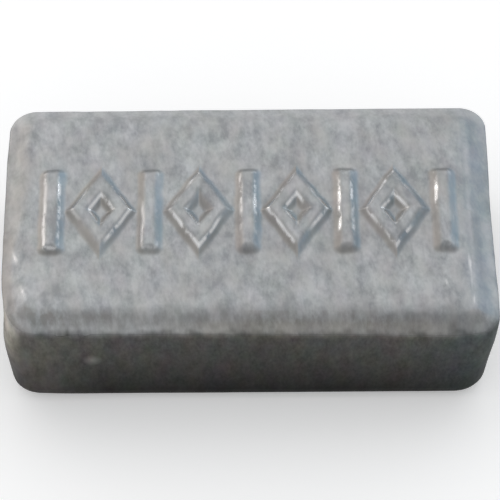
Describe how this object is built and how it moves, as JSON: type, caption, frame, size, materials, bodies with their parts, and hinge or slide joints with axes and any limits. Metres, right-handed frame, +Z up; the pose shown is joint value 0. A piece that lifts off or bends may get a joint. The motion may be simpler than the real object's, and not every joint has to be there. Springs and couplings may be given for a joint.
{
  "type": "metal ingot",
  "caption": "Small cast bar of metal with drafted sides, a parting edge, a bevelled shoulder and a row of raised bars and lozenges on its flat top.",
  "frame": {"origin": "on the floor, under the middle of the flat foot", "axes": "+X along the bar's length, +Y across its width, towards its back, +Z up"},
  "size_m": [0.0268, 0.0154, 0.0079],
  "materials": {
    "cast_metal": "dull as-cast silver, darker on the sides"
  },
  "bodies": {
    "root": {"ingot": "cast_metal"}
  },
  "joints": []
}
